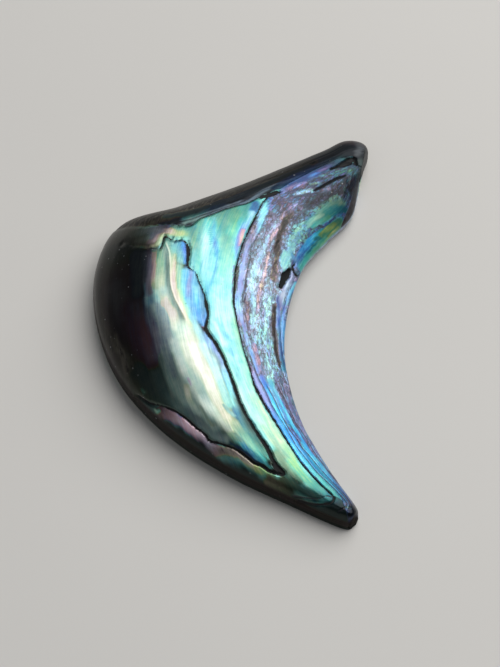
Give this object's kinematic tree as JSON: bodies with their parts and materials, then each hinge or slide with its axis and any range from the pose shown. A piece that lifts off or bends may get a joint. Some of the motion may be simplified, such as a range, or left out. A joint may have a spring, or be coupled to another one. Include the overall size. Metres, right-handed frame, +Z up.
{
  "type": "abalone shell",
  "caption": "Tumbled and polished crescent of iridescent abalone shell with a thick domed heel, a long lower horn, a blunt upper horn and a hollowed underside.",
  "frame": {"origin": "middle of the shell's bounding box in plan, on the surface that it rests on", "axes": "+X from the thick heel to the hollow side of the crescent, +Y from the lower horn to the upper horn, +Z up out of the polished back"},
  "size_m": [0.033, 0.0516, 0.0081],
  "materials": {
    "nacre": "polished mother of pearl, with a high gloss on the back and edges and a softer one underneath"
  },
  "bodies": {
    "root": {"abalone_shell": "nacre"}
  },
  "joints": []
}
